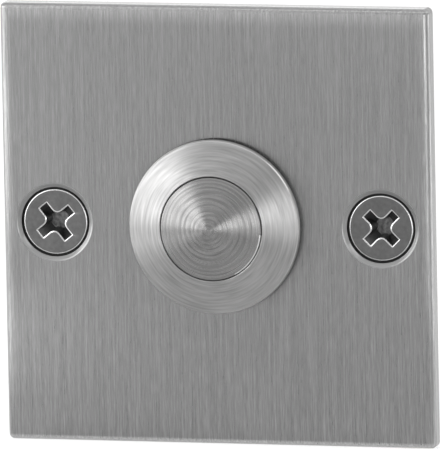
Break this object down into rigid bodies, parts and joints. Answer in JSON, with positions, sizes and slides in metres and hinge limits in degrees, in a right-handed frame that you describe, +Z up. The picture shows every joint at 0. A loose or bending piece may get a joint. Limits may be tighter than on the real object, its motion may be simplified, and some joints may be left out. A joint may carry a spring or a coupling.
{
  "type": "doorbell push button",
  "caption": "Square brushed steel door-bell push with countersunk fixing screws and a sprung, low-coned button in a conical bezel, with wire terminals behind.",
  "frame": {"origin": "centre of the plate's wall face", "axes": "+X to the right seen from the front, +Z up, +Y into the wall, so the button faces -Y"},
  "size_m": [0.05, 0.0252, 0.05],
  "materials": {
    "plate_steel": "stainless steel, brushed upright",
    "turned_steel": "stainless steel, fine turned",
    "screw_steel": "stainless steel, as formed",
    "plated_steel": "bright nickel or zinc plate",
    "spring_steel": "drawn wire",
    "seal_rubber": "matt black",
    "base_plastic": "moulded black, glass filled",
    "carrier_plastic": "natural white",
    "contact_brass": "bare brass"
  },
  "bodies": {
    "mounting": {"face_plate": "plate_steel", "fixing_screw_left": "screw_steel", "fixing_screw_right": "screw_steel", "bezel_body": "turned_steel", "panel_seal": "seal_rubber", "lock_washer": "plated_steel", "mounting_nut": "plated_steel", "return_spring": "spring_steel", "insulating_base": "base_plastic", "terminal_stud_left": "contact_brass", "terminal_stud_right": "contact_brass", "wire_clamp_left": "plated_steel", "wire_clamp_right": "plated_steel", "terminal_screw_left": "plated_steel", "terminal_screw_right": "plated_steel"},
    "button": {"push_cap": "turned_steel", "retaining_clip": "spring_steel", "contact_carrier": "carrier_plastic", "contact_spring": "spring_steel"},
    "bridge": {"contact_bridge": "contact_brass"}
  },
  "joints": [
    {"name": "button_press", "type": "slide", "parent": "mounting", "child": "button", "axis": [0, 1, 0], "range_m": [0, 0.0015], "stiffness_N_per_m": 2000, "deforming": ["return_spring"]},
    {"name": "bridge_give", "type": "slide", "parent": "button", "child": "bridge", "axis": [0, -1, 0], "range_m": [0, 0.0005], "deforming": ["contact_spring"]}
  ],
  "couplings": [
    {"joint": "bridge_give", "follows": "button_press", "ratio": 0.33333}
  ]
}
